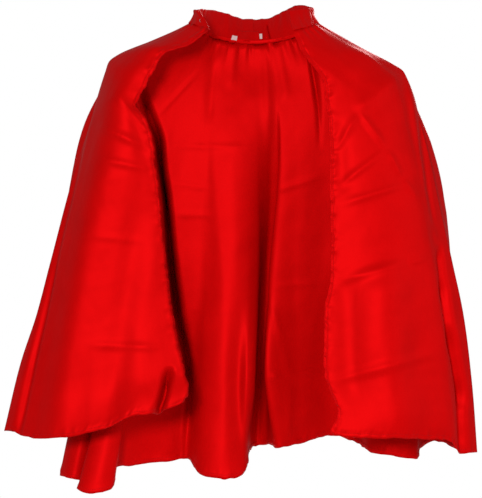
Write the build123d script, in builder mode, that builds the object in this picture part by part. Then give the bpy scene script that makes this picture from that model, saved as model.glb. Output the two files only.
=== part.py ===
"""Satin dress-up cape with a stand-up collar, hanging open on its neckline.

Frame: +Z is up, -Y is the open front, +X is the wearer's left side.
The origin is the middle of the neck opening, level with the neckline seam at the back.
Every cloth piece is a thin shell that follows one surface function, thickened outwards.
"""
from build123d import *
import math
import os

# ---------------------------------------------------------------- driving sizes, millimetres
CLOTH = 1.2                 # thickness of the panel shells
COLLAR_PLY = 0.8            # thickness of each of the three collar layers
PLY_GAP = 0.25              # air between two layers of the collar
SEAM_GAP = 1.5              # each panel stops this far from the side seam line
PART_GAP = 3.0              # gap between a fixed piece and the moving piece below it
TRIM_GAP = 0.8              # air between a panel and the stitching on it

NECK_HALF_WIDTH = 100.0     # neckline ring, side to side
NECK_HALF_DEPTH = 60.0      # neckline ring, front to back
NECK_SIDE_RISE = 23.0       # how much higher the neckline lies on the shoulders than at the back
RIGHT_END_ANGLE = 227.0     # where the collar stops at the wearer's right, degrees round the ring
LEFT_END_ANGLE = -54.0      # and at the wearer's left

COLLAR_RISE_BACK = 30.0     # vertical rise of the collar at the back
COLLAR_RISE_SIDE = 27.0     # and over the shoulders
COLLAR_RISE_FRONT = 36.0    # and at its two ends
COLLAR_LEAN = 24.0          # how far the collar's top edge leans backwards
COLLAR_DRAW_IN = 9.0        # how far the top edge comes in over the shoulders
RIGHT_END_FLARE = 14.0      # how far the wearer's right collar end leans outwards
COLLAR_FOOT = 0.03          # share of its rise at which the fixed collar starts
WING_FOOT = 0.10            # and at which each folding end starts
RIGHT_WING_ROOT = 180.0     # where each folding end meets the fixed collar, degrees round the ring
LEFT_WING_ROOT = 0.0
WING_GAP_ANGLE = 1.2        # half of the slit between them, in degrees

SHOULDER_RIGHT = (-224.0, -36.0)    # shoulder corner (x, z) at the wearer's right
SHOULDER_LEFT = (228.0, -50.0)      # and at the wearer's left
CORNER_RIGHT = (-384.0, -606.0)     # bottom end of the side seam at the wearer's right
CORNER_LEFT = (346.0, -640.0)       # and at the wearer's left
SIDE_BULGE_RIGHT = 3.0              # how far the side seam bows outwards half way down
SIDE_BULGE_LEFT = 19.0
SHOULDER_ROW = 0.18                 # share of the panel above the shoulder corner

BACK_DEPTH_SHOULDER = 62.0  # how far behind the neck centre the back panel hangs, at the shoulders
BACK_DEPTH_HEM = 84.0       # and at the hem
BACK_DROP_SHOULDER = -92.0  # height of the shoulder row at the middle of the back
BACK_HEM_RIGHT = -690.0     # hem height towards the wearer's right
BACK_HEM_LEFT = -645.0      # and towards the wearer's left
FOLD_PITCH = 178.0          # distance from one hanging fold of the back to the next
FOLD_PLACE = -50.0          # x of the middle fold
FOLD_DEPTH = 38.0           # swing of the folds at the hem, either way
FOLD_DROP = 20.0            # how much lower the hem hangs at a fold

FRONT_BELLY = 14.0          # how far a front panel swells forward between its two edges

LABEL_FROM = 82.0           # the neck label's two ends, degrees round the ring
LABEL_TO = 110.0
LABEL_REACH = 0.42          # share of the collar's rise that the label covers
LABEL_PLY = 0.6
LABEL_STAND_OFF = 0.6       # air between the label and the collar facing

BINDING_HEIGHT = 8.0        # strip that covers the raw edges of the neckline seam
BINDING_INSET = 3.0

THREAD = 0.5                # stitching: thickness
THREAD_WIDTH = 1.0
HEM_FOLD = 7.0              # distance of the stitching from the edge of the cloth

WIRE = 0.9                  # hook and eye: wire
EYE_RADIUS = 2.2

# Free front edges, from the neckline to the hem: share of the way down, x, y, z.
FREE_EDGE_RIGHT = [
    (0.00, -71.0, -46.0, 4.0),
    (0.10, -128.0, -50.0, -26.0),
    (0.18, -170.0, -50.0, -86.0),
    (0.30, -153.0, -56.0, -170.0),
    (0.55, -140.0, -68.0, -330.0),
    (0.80, -118.0, -80.0, -476.0),
    (1.00, -116.0, -88.0, -566.0),
]
FREE_EDGE_LEFT = [
    (0.00, 61.0, -50.0, 2.0),
    (0.10, 92.0, -52.0, -44.0),
    (0.18, 110.0, -52.0, -92.0),
    (0.30, 118.0, -56.0, -176.0),
    (0.55, 118.0, -66.0, -336.0),
    (0.80, 110.0, -76.0, -486.0),
    (1.00, 122.0, -84.0, -606.0),
]


# ---------------------------------------------------------------- surface functions
def mix(a, b, share):
    """Plain linear step from a to b."""
    return a + (b - a) * share


def ease(share):
    """Smooth step, clipped to 0..1."""
    s = min(1.0, max(0.0, share))
    return s * s * (3.0 - 2.0 * s)


def span(start, stop, count):
    """count evenly spaced values from start to stop."""
    return [mix(start, stop, i / (count - 1)) for i in range(count)]


def along(rows, share):
    """Point on a free edge at a share of the way down."""
    for upper, lower in zip(rows, rows[1:]):
        if share <= lower[0]:
            s = (share - upper[0]) / (lower[0] - upper[0])
            return tuple(mix(a, b, s) for a, b in zip(upper[1:], lower[1:]))
    return rows[-1][1:]


def neckline(angle, outset=0.0):
    """Point of the neckline seam at an angle round the neck: 90 is the back, 0 the wearer's left."""
    c = math.cos(math.radians(angle))
    s = math.sin(math.radians(angle))
    z = -2.0 + NECK_SIDE_RISE * c * c
    return ((NECK_HALF_WIDTH + outset) * c, (NECK_HALF_DEPTH + outset) * s, z)


def side_seam(side, v):
    """Side seam, side -1 at the wearer's right and +1 at the left: shoulder ridge, then the side."""
    corner, foot, bulge = (
        (SHOULDER_LEFT, CORNER_LEFT, SIDE_BULGE_LEFT)
        if side > 0
        else (SHOULDER_RIGHT, CORNER_RIGHT, SIDE_BULGE_RIGHT)
    )
    top = neckline(0 if side > 0 else 180, PART_GAP)
    if v <= SHOULDER_ROW:
        s = v / SHOULDER_ROW
        return (mix(top[0], corner[0], s), 0.0, mix(top[2] - PART_GAP, corner[1], s))
    s = (v - SHOULDER_ROW) / (1.0 - SHOULDER_ROW)
    bow = side * bulge * 4.0 * s * (1.0 - s)
    return (mix(corner[0], foot[0], s) + bow, 0.0, mix(corner[1], foot[1], s))


def back_point(u, v):
    """Back panel: u from -1 at the wearer's right seam to +1 at the left seam, v down from the neck."""
    side = 1 if u > 0 else -1
    edge = side_seam(side, v)
    across = abs(u)
    round_off = 1.0 - across**4
    neck = neckline(90.0 - 90.0 * u, PART_GAP)
    if v <= SHOULDER_ROW:
        s = v / SHOULDER_ROW
        low_x = u * abs(side_seam(side, SHOULDER_ROW)[0])
        low_y = BACK_DEPTH_SHOULDER * round_off
        low_z = mix(BACK_DROP_SHOULDER, side_seam(side, SHOULDER_ROW)[2], across**2)
        x = mix(neck[0], low_x, s)
        y = mix(neck[1], low_y, s)
        z = mix(neck[2] - PART_GAP, low_z, s)
    else:
        s = (v - SHOULDER_ROW) / (1.0 - SHOULDER_ROW)
        x = u * abs(edge[0])
        fold = math.cos(2.0 * math.pi * (x - FOLD_PLACE) / FOLD_PITCH) * ease(s) * round_off
        y = mix(BACK_DEPTH_SHOULDER, BACK_DEPTH_HEM, s) * round_off - FOLD_DEPTH * fold
        top_z = mix(BACK_DROP_SHOULDER, side_seam(side, SHOULDER_ROW)[2], across**2)
        hem_z = mix(BACK_HEM_RIGHT, BACK_HEM_LEFT, (u + 1.0) / 2.0) - FOLD_DROP * fold
        hem_z = mix(hem_z, side_seam(side, 1.0)[2], across**8)
        z = mix(top_z, hem_z, s)
    return (x, y + SEAM_GAP, z)


def front_point(side, t, v):
    """Front panel: t from 0 at the side seam to 1 at the free front edge, v down from the neck."""
    seam = side_seam(side, v)
    free = along(FREE_EDGE_LEFT if side > 0 else FREE_EDGE_RIGHT, v)
    if side > 0:
        neck = neckline(LEFT_END_ANGLE * t, PART_GAP)
    else:
        neck = neckline(mix(180.0, RIGHT_END_ANGLE, t), PART_GAP)
    bend = math.sin(math.pi / 2.0 * t)
    belly = FRONT_BELLY * math.sin(math.pi * t) * ease(v / SHOULDER_ROW)
    x = mix(seam[0], free[0], t)
    y = mix(seam[1], free[1], bend) - belly
    z = mix(seam[2], free[2], t)
    s = ease(v / (0.6 * SHOULDER_ROW))
    x = mix(neck[0], x, s)
    y = mix(neck[1], y, s)
    z = mix(neck[2] - PART_GAP, z, s)
    return (x, y - SEAM_GAP, z)


def collar_point(angle, rise):
    """Collar ring: angle round the neck, rise from 0 at the neckline to 1 at the top edge."""
    base = neckline(angle)
    c = math.cos(math.radians(angle))
    s = math.sin(math.radians(angle))
    backness = max(0.0, s) ** 2
    frontness = ease(-s / 0.8)
    lift = mix(COLLAR_RISE_SIDE, COLLAR_RISE_BACK, backness)
    lift = mix(lift, COLLAR_RISE_FRONT, frontness)
    draw = -COLLAR_DRAW_IN * c * (1.0 - frontness)
    if c < 0:
        draw -= RIGHT_END_FLARE * frontness
    return (base[0] + draw * rise, base[1] + COLLAR_LEAN * rise, base[2] + lift * rise)


# ---------------------------------------------------------------- shells from the functions
def skin(point, values_a, values_b, lift):
    """Grid of surface points, each moved out of the garment, along the surface's normal, by lift."""
    step_a = (values_a[-1] - values_a[0]) * 0.002
    step_b = (values_b[-1] - values_b[0]) * 0.002
    rows = []
    for b in values_b:
        row = []
        for a in values_a:
            along_a = Vector(*point(a + step_a, b)) - Vector(*point(a - step_a, b))
            along_b = Vector(*point(a, b + step_b)) - Vector(*point(a, b - step_b))
            row.append(Vector(*point(a, b)) + along_a.cross(along_b).normalized() * lift)
        rows.append(row)
    return rows


def cell_faces(p, q, r, s):
    """Two flat triangles that fill the four-cornered cell p, q, r, s."""
    return [Face(Wire.make_polygon(corners, close=True)) for corners in ([p, q, r], [p, r, s])]


def shell(point, values_a, values_b, thickness, lift=0.0):
    """A thin closed solid of flat cells that follows the surface, from lift to lift + thickness."""
    near = skin(point, values_a, values_b, min(lift, lift + thickness))
    far = skin(point, values_a, values_b, max(lift, lift + thickness))
    last_a = len(values_a) - 1
    last_b = len(values_b) - 1
    faces = []
    for j in range(last_b):
        for i in range(last_a):
            faces += cell_faces(near[j][i], near[j + 1][i], near[j + 1][i + 1], near[j][i + 1])
            faces += cell_faces(far[j][i], far[j][i + 1], far[j + 1][i + 1], far[j + 1][i])
    for i in range(last_a):
        faces += cell_faces(near[0][i], near[0][i + 1], far[0][i + 1], far[0][i])
        faces += cell_faces(far[last_b][i], far[last_b][i + 1], near[last_b][i + 1], near[last_b][i])
    for j in range(last_b):
        faces += cell_faces(far[j][0], far[j + 1][0], near[j + 1][0], near[j][0])
        faces += cell_faces(near[j][last_a], near[j + 1][last_a], far[j + 1][last_a], far[j][last_a])
    return Solid(Shell(faces))


def save(piece, name):
    """Label a finished piece and write it as its own STEP file."""
    piece.part.label = name
    export_step(piece.part, f"parts/{name}.step")


# ---------------------------------------------------------------- rows and columns of the cells
SPLIT = PART_GAP / 1200.0                       # half of the slit between shoulder part and drape
YOKE_ROWS = [0.0, 0.07, 0.13, SHOULDER_ROW - SPLIT]
DRAPE_ROWS = [SHOULDER_ROW + SPLIT, 0.24, 0.32, 0.44, 0.58, 0.72, 0.86, 1.0]
BACK_ROWS = [0.0, 0.07, 0.13, SHOULDER_ROW, 0.24, 0.32, 0.44, 0.58, 0.72, 0.86, 1.0]
BACK_COLUMNS = span(-1.0, 1.0, 29)
FRONT_COLUMNS = {1: span(0.0, 1.0, 8), -1: span(1.0, 0.0, 8)}
SIDE_NAMES = {1: "left", -1: "right"}
DROP = abs(BACK_HEM_RIGHT)                      # length of a panel, for sizes given down its length
FRONT_WIDTH = abs(CORNER_LEFT[0] - FREE_EDGE_LEFT[-1][1])

STITCH_LIFT = CLOTH + TRIM_GAP
HEM_BAND = [1.0 - (HEM_FOLD + THREAD_WIDTH) / DROP, 1.0 - HEM_FOLD / DROP]
EDGE_BAND = [1.0 - (HEM_FOLD + THREAD_WIDTH) / FRONT_WIDTH, 1.0 - HEM_FOLD / FRONT_WIDTH]

os.makedirs("parts", exist_ok=True)

# ---------------------------------------------------------------- back panel
with BuildPart() as back_panel:
    add(shell(back_point, BACK_COLUMNS, BACK_ROWS, CLOTH))
save(back_panel, "back_panel")

with BuildPart() as back_hem_stitching:
    add(shell(back_point, BACK_COLUMNS[1:-1], HEM_BAND, THREAD, STITCH_LIFT))
save(back_hem_stitching, "back_hem_stitching")

# ---------------------------------------------------------------- fronts: shoulder part and drape
for side, name in SIDE_NAMES.items():

    def front(t, v, side=side):
        return front_point(side, t, v)

    columns = FRONT_COLUMNS[side]
    edge_band = EDGE_BAND if side > 0 else EDGE_BAND[::-1]
    inner_columns = [t for t in columns if 0.0 < t < 1.0]

    with BuildPart() as shoulder_part:
        add(shell(front, columns, YOKE_ROWS, CLOTH))
    save(shoulder_part, f"{name}_front_shoulder")

    with BuildPart() as shoulder_edge_stitching:
        add(shell(front, edge_band, YOKE_ROWS[1:], THREAD, STITCH_LIFT))
    save(shoulder_edge_stitching, f"{name}_shoulder_edge_stitching")

    with BuildPart() as drape:
        add(shell(front, columns, DRAPE_ROWS, CLOTH))
    save(drape, f"{name}_front_drape")

    with BuildPart() as front_edge_stitching:
        add(shell(front, edge_band, DRAPE_ROWS[:-1], THREAD, STITCH_LIFT))
    save(front_edge_stitching, f"{name}_front_edge_stitching")

    with BuildPart() as front_hem_stitching:
        add(shell(front, inner_columns, HEM_BAND, THREAD, STITCH_LIFT))
    save(front_hem_stitching, f"{name}_front_hem_stitching")

# ---------------------------------------------------------------- collar: three layers, two folding ends
COLLAR_LAYERS = ["facing", "interfacing", "outer"]
COLLAR_ROWS = [COLLAR_FOOT, 0.35, 0.7, 1.0]
WING_ROWS = [WING_FOOT, 0.4, 0.7, 1.0]
INTERFACING_INSET = 0.04
COLLAR_ARCS = {
    "collar": span(LEFT_WING_ROOT + WING_GAP_ANGLE, RIGHT_WING_ROOT - WING_GAP_ANGLE, 17),
    "right_collar_end": span(RIGHT_WING_ROOT + WING_GAP_ANGLE, RIGHT_END_ANGLE, 6),
    "left_collar_end": span(LEFT_END_ANGLE, LEFT_WING_ROOT - WING_GAP_ANGLE, 6),
}
for arc_name, arc in COLLAR_ARCS.items():
    rows = COLLAR_ROWS if arc_name == "collar" else WING_ROWS
    for level, layer in enumerate(COLLAR_LAYERS):
        layer_rows = rows[:-1] + [rows[-1] - INTERFACING_INSET] if layer == "interfacing" else rows
        with BuildPart() as collar_layer:
            add(shell(collar_point, arc, layer_rows, COLLAR_PLY, level * (COLLAR_PLY + PLY_GAP)))
        save(collar_layer, f"{arc_name}_{layer}")


# ---------------------------------------------------------------- neckline binding and neck label
def binding_point(angle, drop):
    """Strip inside the neckline, drop millimetres below it."""
    x, y, z = neckline(angle, -BINDING_INSET)
    return (x, y, z - drop)


with BuildPart() as neckline_binding:
    add(shell(binding_point, span(172.0, 8.0, 15), [1.0, 1.0 + BINDING_HEIGHT], CLOTH / 2.0))
save(neckline_binding, "neckline_binding")

with BuildPart() as neck_label:
    label_rows = [COLLAR_FOOT, LABEL_REACH]
    add(shell(collar_point, span(LABEL_FROM, LABEL_TO, 5), label_rows, -LABEL_PLY, -LABEL_STAND_OFF))
save(neck_label, "neck_label")


# ---------------------------------------------------------------- hook and eye on the collar ends
def fastener_plane(angle, rise, towards):
    """Plane on the inside of the collar, its x axis along the ring towards the collar's end."""
    foot = Vector(*collar_point(angle, rise))
    ahead = Vector(*collar_point(angle + towards, rise)) - foot
    up = Vector(*collar_point(angle, rise + 0.05)) - foot
    inwards = up.cross(ahead).normalized() * towards
    clear = inwards * (TRIM_GAP + WIRE / 2.0)
    return Plane(origin=foot + clear, x_dir=ahead.normalized(), z_dir=inwards)


FASTENER_RISE = 0.35
FASTENER_INSET_ANGLE = 5.0
RING_PLACES = [(0.0, EYE_RADIUS + WIRE / 2.0), (0.0, -EYE_RADIUS - WIRE / 2.0)]
NOSE_REACH = 2.0 * EYE_RADIUS

with BuildPart() as wire_hook:
    with BuildSketch(fastener_plane(LEFT_END_ANGLE + FASTENER_INSET_ANGLE, FASTENER_RISE, -1)):
        with Locations(*RING_PLACES):
            Circle(EYE_RADIUS + WIRE / 2.0)
        with Locations((NOSE_REACH, 0.0)):
            Rectangle(2.0 * NOSE_REACH, 2.2 * WIRE)
        with Locations(*RING_PLACES):
            Circle(EYE_RADIUS - WIRE / 2.0, mode=Mode.SUBTRACT)
    extrude(amount=WIRE)
save(wire_hook, "wire_hook")

with BuildPart() as wire_eye:
    with BuildSketch(fastener_plane(RIGHT_END_ANGLE - FASTENER_INSET_ANGLE, FASTENER_RISE, 1)):
        with Locations(*RING_PLACES):
            Circle(EYE_RADIUS + WIRE / 2.0)
        with Locations((NOSE_REACH, 0.0)):
            Ellipse(NOSE_REACH + WIRE / 2.0, 1.6 * EYE_RADIUS + WIRE / 2.0)
        with Locations((NOSE_REACH, 0.0)):
            Ellipse(NOSE_REACH - WIRE / 2.0, 1.6 * EYE_RADIUS - WIRE / 2.0, mode=Mode.SUBTRACT)
        with Locations(*RING_PLACES):
            Circle(EYE_RADIUS - WIRE / 2.0, mode=Mode.SUBTRACT)
    extrude(amount=WIRE)
save(wire_eye, "wire_eye")
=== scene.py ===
"""Red satin dress-up cape with a stand-up collar, hanging open from its shoulders.

Laid out as an add-on and run as a script: every piece of the cape has its own operator, and the
sizes and colours that a maker would change are scene properties.
"""
import math

import bpy
import numpy as np
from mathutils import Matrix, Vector


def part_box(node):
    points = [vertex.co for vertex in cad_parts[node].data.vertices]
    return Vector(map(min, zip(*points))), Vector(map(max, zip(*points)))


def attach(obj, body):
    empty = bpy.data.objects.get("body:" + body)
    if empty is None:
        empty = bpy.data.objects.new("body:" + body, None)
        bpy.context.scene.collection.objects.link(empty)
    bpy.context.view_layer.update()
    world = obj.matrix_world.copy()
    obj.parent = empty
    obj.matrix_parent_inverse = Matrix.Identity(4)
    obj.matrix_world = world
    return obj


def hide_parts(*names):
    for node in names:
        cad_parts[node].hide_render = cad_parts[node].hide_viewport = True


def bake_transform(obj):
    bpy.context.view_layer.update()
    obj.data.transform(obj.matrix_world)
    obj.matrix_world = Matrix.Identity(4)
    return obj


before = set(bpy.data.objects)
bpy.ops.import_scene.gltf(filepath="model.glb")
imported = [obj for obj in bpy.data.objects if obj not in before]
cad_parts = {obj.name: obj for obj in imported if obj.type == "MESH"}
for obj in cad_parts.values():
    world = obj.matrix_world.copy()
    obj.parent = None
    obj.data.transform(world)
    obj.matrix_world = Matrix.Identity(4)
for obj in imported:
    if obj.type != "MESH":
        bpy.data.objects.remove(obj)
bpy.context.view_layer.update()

bl_info = {
    "name": "Stand-collar cape",
    "version": (1, 0, 0),
    "blender": (4, 5, 0),
    "location": "View3D > Sidebar > Cape",
    "description": "Cuts, hangs and finishes a satin cape with a stand-up collar",
    "category": "Add Mesh",
}

MM = 0.001
SIDES = ((-1, "right"), (1, "left"))    # the wearer's right is -X
NECK_HALF_WIDTH = 100.0     # neckline ring, side to side
NECK_HALF_DEPTH = 60.0      # and front to back
NECK_SIDE_RISE = 23.0       # how much higher it lies on the shoulders than at the back
RIGHT_END_ANGLE = 227.0     # where the collar ends at the wearer's right, degrees round the ring
LEFT_END_ANGLE = -54.0      # and at the wearer's left
SHOULDER_HALF = 228.0       # half the spread of the shoulders
SHOULDER_ROW = -92.0        # height of the shoulder row at the middle of the back
SHOULDER_DEPTH = 52.0       # and how far behind the neck it lies there
RIGHT_CORNER = -34.0        # heights of the back's shoulder corners
LEFT_CORNER = -50.0
TOP_SHARE = 0.16            # share of the back's length above its shoulder row
MIDDLE_SHARE = 0.56         # share of the rest that is above the middle row
POCKET_SHARE = 0.78         # and above the row of the pocket
NECK_TUCK = 1.8             # how far the panels' tops reach up into the collar
FRONT_REACH = 84.0          # how far forward a front's bottom corner comes
LEFT_BELLY = 13.0           # how far the left front swells forward between its edges
RIGHT_BELLY = 19.0          # and the right one
CURL_DEPTH = 36.0           # depth of the hollow beside the right front's curled corner
COLLAR_COLUMNS = 240        # points along each half of the collar
STIFFENER_ROWS_OFF = 4      # rows of the collar below the stiffener's foot
STIFFENER_COLUMNS_OFF = 8   # and columns past its end
STIFFENER_SHORT = 3.5       # how far its top stops below the collar's top edge
ALLOWANCE_TOP = -300.0      # height from which a side seam's allowance hangs free
ALLOWANCE_LIFT = 1.3        # how far it lies inside the panels

# The hanging folds of the back panel, from the wearer's right seam to the left one. Each row is a
# line of the cloth: x at the shoulder row, x and y at the middle row, then x, y and z at the hem.
BACK_LINES = [
    (-226, -329, 2, -386, 2, -606),
    (-205, -300, 44, -340, 54, -616),
    (-190, -273, 62, -291, 84, -625),
    (-180, -255, 66, -268, 80, -639),
    (-165, -239, 50, -304, 40, -680),
    (-154, -222, 36, -281, 20, -685),
    (-145, -210, 42, -259, 32, -693),
    (-137, -203, 28, -273, 4, -700),
    (-127, -189, 20, -249, -9, -706),
    (-116, -173, 28, -220, 0, -696),
    (-105, -158, 44, -221, 40, -672),
    (-92, -142, 52, -190, 64, -668),
    (-80, -116, 54, -136, 74, -664),
    (-71, -89, 48, -104, 56, -658),
    (-64, -71, 40, -86, 24, -677),
    (-54, -46, 31, -50, 11, -685),
    (-30, -22, 33, -20, 20, -679),
    (-12, -6, 39, -10, 34, -662),
    (0, 6, 53, -9, 54, -652),
    (8, 9, 78, -7, 82, -648),
    (18, 13, 106, -3, 106, -645),
    (26, 20, 130, 6, 122, -642),
    (32, 31, 122, 18, 114, -640),
    (36, 33, 90, 26, 86, -637),
    (40, 23, 58, 36, 60, -640),
    (62, 67, 58, 78, 70, -633),
    (95, 118, 66, 126, 92, -624),
    (125, 166, 66, 166, 80, -635),
    (143, 193, 54, 181, 52, -645),
    (162, 221, 41, 214, 33, -651),
    (181, 250, 48, 256, 44, -655),
    (192, 267, 66, 263, 78, -643),
    (207, 290, 76, 290, 98, -633),
    (220, 311, 52, 328, 64, -645),
    (230, 319, 2, 346, 2, -642),
]

# Deep pocket beside the middle fold, four fifths of the way down: x at the shoulder row, x and y.
BACK_POCKET = [(-30, -24, 28), (-12, -10, 22), (0, 2, 34), (8, 3, 76), (18, 5, 108), (26, 12, 134),
               (32, 23, 122), (36, 25, 86), (40, 17, 48)]

# Narrow deep valleys of the back panel: half width, then x, z and depth down their middle.
BACK_VALLEYS = [
    (5.6, [(-180, -62, 0), (-172, -96, 22), (-163, -120, 36), (-152, -149, 46), (-147, -192, 52),
           (-139, -251, 57), (-131, -340, 60), (-119, -433, 62), (-103, -508, 56), (-100, -552, 30),
           (-104, -620, 15), (-107, -700, 10)]),
    (3.4, [(86, -12, 0), (91, -38, 8), (97, -70, 13), (101, -100, 6), (104, -170, 0)]),
]

# Side seams as seen from the front: x and z from the collar over the shoulder corner to the hem.
SEAM_RIGHT = [(-100, 22.8), (-116, 14.5), (-160, -5), (-212, -27), (-224, -36), (-230, -52),
              (-242, -90), (-252, -127), (-264, -165), (-276, -201), (-316, -350),
              (-338, -433), (-360, -499), (-387, -609)]
SEAM_LEFT = [(100, 22.8), (116, 13.5), (170, -17), (216, -41), (231, -51), (238, -64),
             (248, -90), (257, -127), (267, -164), (276, -201), (284, -241), (308, -350),
             (324, -425), (338, -536), (346, -642)]

# Free front edges, x, y and z from the collar's end to the bottom corner.
EDGE_RIGHT = [(-70, -46, 6), (-98, -50, -14), (-135, -53, -28), (-150, -54, -50), (-166, -54, -80),
              (-178, -56, -107), (-169, -58, -123), (-158, -58, -149), (-151, -57, -192),
              (-143, -56, -251), (-135, -54, -340), (-123, -55, -433), (-106, -62, -508),
              (-98, -72, -542), (-106, -76, -560)]
EDGE_LEFT = [(60, -49, 3), (71, -54, -20), (86, -57, -43), (104, -56, -68), (108, -54, -94),
             (114, -56, -131), (117, -58, -176), (116, -62, -241), (116, -68, -373),
             (109, -72, -408), (107, -76, -467), (108, -80, -521), (126, -84, -570),
             (116, -88, -602)]

# Bottom edges of the two fronts between seam and free edge: x and z.
HEM_RIGHT = [(-387, -609), (-374, -607), (-362, -613), (-300, -616), (-223, -596),
             (-188, -581), (-150, -574), (-127, -567), (-107, -560)]
HEM_LEFT = [(346, -642), (318, -640), (302, -622), (262, -617), (215, -614), (165, -613),
            (136, -612), (119, -609)]

# Top edge of the collar round the neck: angle, x, y, z.
COLLAR_TOP = [(227, -87, -24, 41), (205, -92, 2, 44), (180, -88, 24, 46), (165, -83, 42, 49),
              (150, -73, 57, 50), (135, -59, 72, 50), (120, -38, 80, 44), (105, -20, 86, 40),
              (90, 0, 88, 37), (75, 23, 86, 38), (60, 43, 78, 48), (45, 64, 66, 56),
              (30, 77, 48, 56), (15, 86, 32, 52), (0, 91, 18, 49), (-25, 84, -8, 45),
              (-54, 55, -27, 41)]

# Pressed creases, as seen from the front: start, end, height, width and, if it differs, the fade.
BACK_CREASES = [
    ((-150, -165), (24, -168), 0.8, 7), ((-140, -222), (-60, -232), 0.9, 7),
    ((20, -240), (116, -210), 1.2, 8), ((-134, -272), (-50, -274), 0.8, 7),
    ((26, -386), (116, -380), 1.0, 7), ((-120, -420), (-20, -426), 0.6, 7),
    ((26, -530), (114, -516), 1.3, 7), ((28, -412), (46, -480), 1.8, 8),
    ((45, -474), (58, -534), 1.8, 8), ((57, -528), (54, -640), 1.8, 8),
    ((27, -524), (40, -530), 3.0, 6, 0.4), ((-76, -37), (-160, -128), 0.9, 7),
    ((-101, -548), (-107, -668), 1.6, 6),
]
LEFT_CREASES = [
    ((121, -184), (161, -114), 2.4, 11), ((158, -112), (204, -176), 2.6, 10),
    ((202, -172), (228, -222), 2.0, 9), ((225, -218), (252, -252), 1.6, 9),
    ((120, -238), (206, -172), 2.2, 10), ((122, -262), (238, -226), 2.0, 10),
    ((122, -378), (238, -345), 2.4, 12), ((232, -348), (268, -340), 1.4, 9),
    ((106, -530), (292, -482), 2.2, 13),
]
RIGHT_CREASES = [
    ((-225, -71), (-160, -151), 2.2, 11), ((-245, -134), (-160, -175), 2.2, 11),
    ((-241, -188), (-158, -206), 1.8, 10), ((-266, -472), (-128, -477), 1.6, 11),
    ((-300, -300), (-150, -318), 0.9, 10),
]
# Rounded folds, given the same way; the last four of the left front are the hollows at its seam.
BACK_FOLDS = [
    ((-62, -20), (-70, -120), -1.6, 7), ((-30, -10), (-36, -70), 1.4, 7),
    ((18, -14), (26, -170), 2.0, 8), ((40, -14), (52, -90), 1.4, 8),
    ((-86, -230), (-78, -450), -1.3, 12, 0.6),
]
LEFT_FOLDS = [
    ((222, -62), (160, -112), 3.0, 11), ((128, -140), (135, -235), -2.6, 12),
    ((196, -360), (218, -620), 10.0, 34), ((140, -380), (150, -560), -5.0, 20),
    ((140, -20), (216, -40), 2.6, 9), ((238, -66), (262, -240), 2.2, 5),
    ((250, -66), (276, -300), -2.4, 5), ((262, -240), (279, -310), 1.8, 5),
    ((286, -330), (294, -400), -7.0, 5, 0.4), ((292, -385), (305, -480), -11.0, 5.5, 0.4),
    ((303, -460), (322, -560), -15.0, 6, 0.4), ((318, -545), (323, -640), -12.0, 6, 0.5),
]
RIGHT_FOLDS = [
    ((-206, -24), (-146, -16), 2.4, 9), ((-226, -160), (-306, -620), 10.0, 27),
    ((-176, -260), (-222, -600), -6.0, 24), ((-252, -118), (-304, -330), -4.0, 4.5),
    ((-304, -330), (-364, -610), -6.5, 5), ((-186, -100), (-168, -190), -2.6, 10),
]


# ---------------- properties
def a_length(name, description, default):
    """A size in metres."""
    return bpy.props.FloatProperty(name=name, description=description, default=default,
                                   unit="LENGTH")


def a_colour(name, description, red, green, blue):
    """A colour, as linear light."""
    return bpy.props.FloatVectorProperty(name=name, description=description, subtype="COLOR",
                                         size=4, default=(red, green, blue, 1.0), min=0.0, max=1.0)


class CapeSizes(bpy.types.PropertyGroup):
    """Sizes that a maker would change."""

    cloth: a_length("Cloth", "Thickness of the satin", 0.0006)
    hem: a_length("Hem", "Width of the double-turned hem", 0.0075)
    stitch: a_length("Stitch", "Length of one stitch", 0.0027)
    stitch_gap: a_length("Stitch gap", "Gap between two stitches", 0.0009)
    thread: a_length("Thread", "Half thickness of the thread", 0.00032)
    gather: a_length("Gather", "Depth of the gathers at the neckline", 0.0032)
    wire: a_length("Wire", "Wire of the hook and eye", 0.0009)


class CapeColours(bpy.types.PropertyGroup):
    """Colours of the cape's cloths."""

    satin: a_colour("Satin", "Colour of the satin", 0.68, 0.0016, 0.002)
    shade: a_colour("Shade", "Satin where the threads lie darker", 0.52, 0.0008, 0.001)
    thread: a_colour("Thread", "Colour of the sewing thread", 0.62, 0.004, 0.006)
    tape: a_colour("Label ends", "Folded ends of the neck label", 0.80, 0.56, 0.54)
    stiffener: a_colour("Stiffener", "The collar's interfacing", 0.78, 0.77, 0.74)
    wire: a_colour("Wire", "Colour of the hook and eye", 0.62, 0.62, 0.64)


# ---------------- curves and grids, in millimetres
def ease(share):
    """Smooth step of a share, clipped to 0..1."""
    s = np.clip(share, 0.0, 1.0)
    return s * s * (3.0 - 2.0 * s)


def mix(a, b, share):
    return a + (b - a) * share


def through(places, values, where):
    """Smooth line through values at places, read at where. A local cubic, so that it never swings."""
    t = np.asarray(places, float)
    p = np.asarray(values, float).reshape(len(t), -1)
    h = np.diff(t)
    slope = np.diff(p, axis=0) / h[:, None]
    m = np.empty_like(p)
    m[0], m[-1] = slope[0], slope[-1]
    before, after = h[:-1, None], h[1:, None]
    m[1:-1] = (slope[:-1] * after + slope[1:] * before) / (before + after)
    w = np.clip(np.asarray(where, float), t[0], t[-1])
    i = np.clip(np.searchsorted(t, w, side="right") - 1, 0, len(h) - 1)
    s = ((w - t[i]) / h[i])[:, None]
    s2, s3 = s * s, s * s * s
    return ((2 * s3 - 3 * s2 + 1) * p[i] + (s3 - 2 * s2 + s) * h[i, None] * m[i]
            + (3 * s2 - 2 * s3) * p[i + 1] + (s3 - s2) * h[i, None] * m[i + 1])


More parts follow.
